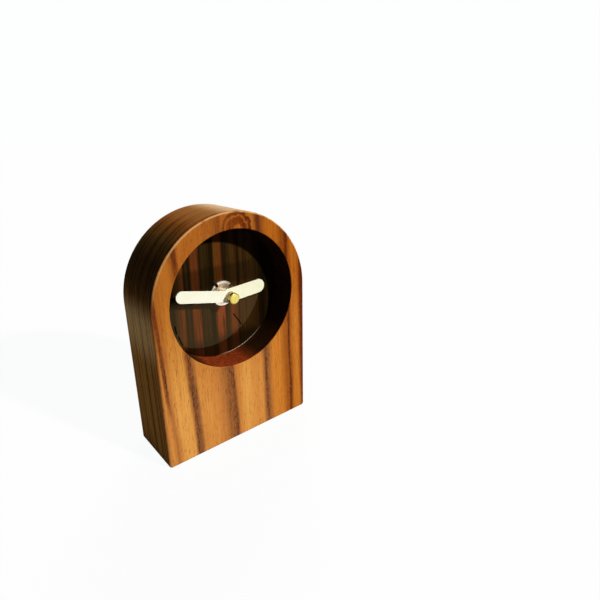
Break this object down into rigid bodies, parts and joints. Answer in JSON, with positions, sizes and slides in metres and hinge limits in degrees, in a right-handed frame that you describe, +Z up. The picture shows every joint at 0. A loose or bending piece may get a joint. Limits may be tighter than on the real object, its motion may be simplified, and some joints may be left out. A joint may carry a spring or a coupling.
{
  "type": "wooden desk clock",
  "caption": "Arched solid wood desk clock with a deep round recess, striped wood dial, two flat hands and a battery quartz movement set into its back.",
  "frame": {"origin": "on the surface it stands on, under the middle of the block", "axes": "+Z up, the dial faces -Y, +X to the right seen from the front"},
  "size_m": [0.08, 0.031, 0.112],
  "materials": {
    "block_wood": "oiled, straight figure",
    "dial_wood": "lacquered, dark striped",
    "cream_paint": "satin",
    "nickel": "polished",
    "brass": "polished",
    "arbor_steel": "turned",
    "contact_steel": "plated",
    "housing_plastic": "fine matte",
    "plate_plastic": "moulded",
    "wheel_plastic": "moulded",
    "knob_plastic": "moulded",
    "washer_rubber": "matte",
    "cell_sleeve": "gloss sleeve",
    "board_laminate": "laminate",
    "chip_resin": "cast resin",
    "coil_copper": "enamelled wire",
    "bobbin_plastic": "moulded",
    "magnet_ferrite": "ground"
  },
  "bodies": {
    "clock_case": {"case_block": "block_wood", "dial": "dial_wood", "rubber_washer": "washer_rubber", "round_nut": "nickel", "threaded_bush": "brass", "movement_shell": "housing_plastic", "middle_plate": "plate_plastic", "train_bridge": "plate_plastic", "gear_cover": "housing_plastic", "cover_screws": "arbor_steel", "battery_cell": "cell_sleeve", "positive_contact": "contact_steel", "negative_contact": "contact_steel", "circuit_board": "board_laminate", "controller_chip": "chip_resin", "quartz_crystal": "contact_steel", "coil_bobbin": "bobbin_plastic", "coil_winding": "coil_copper", "coil_core": "arbor_steel", "stator": "arbor_steel"},
    "minute_group": {"minute_hand": "cream_paint", "minute_arbor": "arbor_steel", "cap_nut": "brass"},
    "hour_group": {"hour_hand": "cream_paint", "hour_wheel": "wheel_plastic"},
    "motion_group": {"motion_wheel": "wheel_plastic"},
    "setting_group": {"setting_knob": "knob_plastic", "setting_arbor": "wheel_plastic"},
    "rotor_group": {"rotor_pinion": "wheel_plastic", "rotor_magnet": "magnet_ferrite"},
    "intermediate_group": {"intermediate_wheel": "wheel_plastic"},
    "seconds_group": {"seconds_wheel": "wheel_plastic"},
    "third_group": {"third_wheel": "wheel_plastic"},
    "centre_group": {"centre_wheel": "wheel_plastic"}
  },
  "joints": [
    {"name": "minute_hand_turn", "type": "hinge", "parent": "clock_case", "child": "minute_group", "pos_m": [0, 0, 0.072], "axis": [0, 1, 0], "continuous": true},
    {"name": "hour_hand_turn", "type": "hinge", "parent": "clock_case", "child": "hour_group", "pos_m": [0, 0, 0.072], "axis": [0, 1, 0], "continuous": true},
    {"name": "motion_wheel_turn", "type": "hinge", "parent": "clock_case", "child": "motion_group", "pos_m": [-0.0084, 0, 0.072], "axis": [0, 1, 0], "continuous": true},
    {"name": "setting_knob_turn", "type": "hinge", "parent": "clock_case", "child": "setting_group", "pos_m": [-0.01677, 0, 0.07127], "axis": [0, 1, 0], "continuous": true},
    {"name": "rotor_spin", "type": "hinge", "parent": "clock_case", "child": "rotor_group", "pos_m": [-0.00035, 0, 0.08859], "axis": [0, 1, 0], "continuous": true},
    {"name": "intermediate_wheel_turn", "type": "hinge", "parent": "clock_case", "child": "intermediate_group", "pos_m": [-0.00516, 0, 0.08171], "axis": [0, 1, 0], "continuous": true},
    {"name": "seconds_wheel_turn", "type": "hinge", "parent": "clock_case", "child": "seconds_group", "pos_m": [0, 0, 0.072], "axis": [0, 1, 0], "continuous": true},
    {"name": "third_wheel_turn", "type": "hinge", "parent": "clock_case", "child": "third_group", "pos_m": [0.00893, 0, 0.07825], "axis": [0, 1, 0], "continuous": true},
    {"name": "centre_wheel_turn", "type": "hinge", "parent": "clock_case", "child": "centre_group", "pos_m": [0, 0, 0.072], "axis": [0, 1, 0], "continuous": true}
  ],
  "couplings": [
    {"joint": "motion_wheel_turn", "follows": "minute_hand_turn", "ratio": -0.33333},
    {"joint": "hour_hand_turn", "follows": "minute_hand_turn", "ratio": 0.083333},
    {"joint": "setting_knob_turn", "follows": "minute_hand_turn", "ratio": 1},
    {"joint": "intermediate_wheel_turn", "follows": "rotor_spin", "ratio": -0.16667},
    {"joint": "seconds_wheel_turn", "follows": "rotor_spin", "ratio": 0.033333},
    {"joint": "third_wheel_turn", "follows": "rotor_spin", "ratio": -0.0044444},
    {"joint": "centre_wheel_turn", "follows": "rotor_spin", "ratio": 0.00055556}
  ]
}
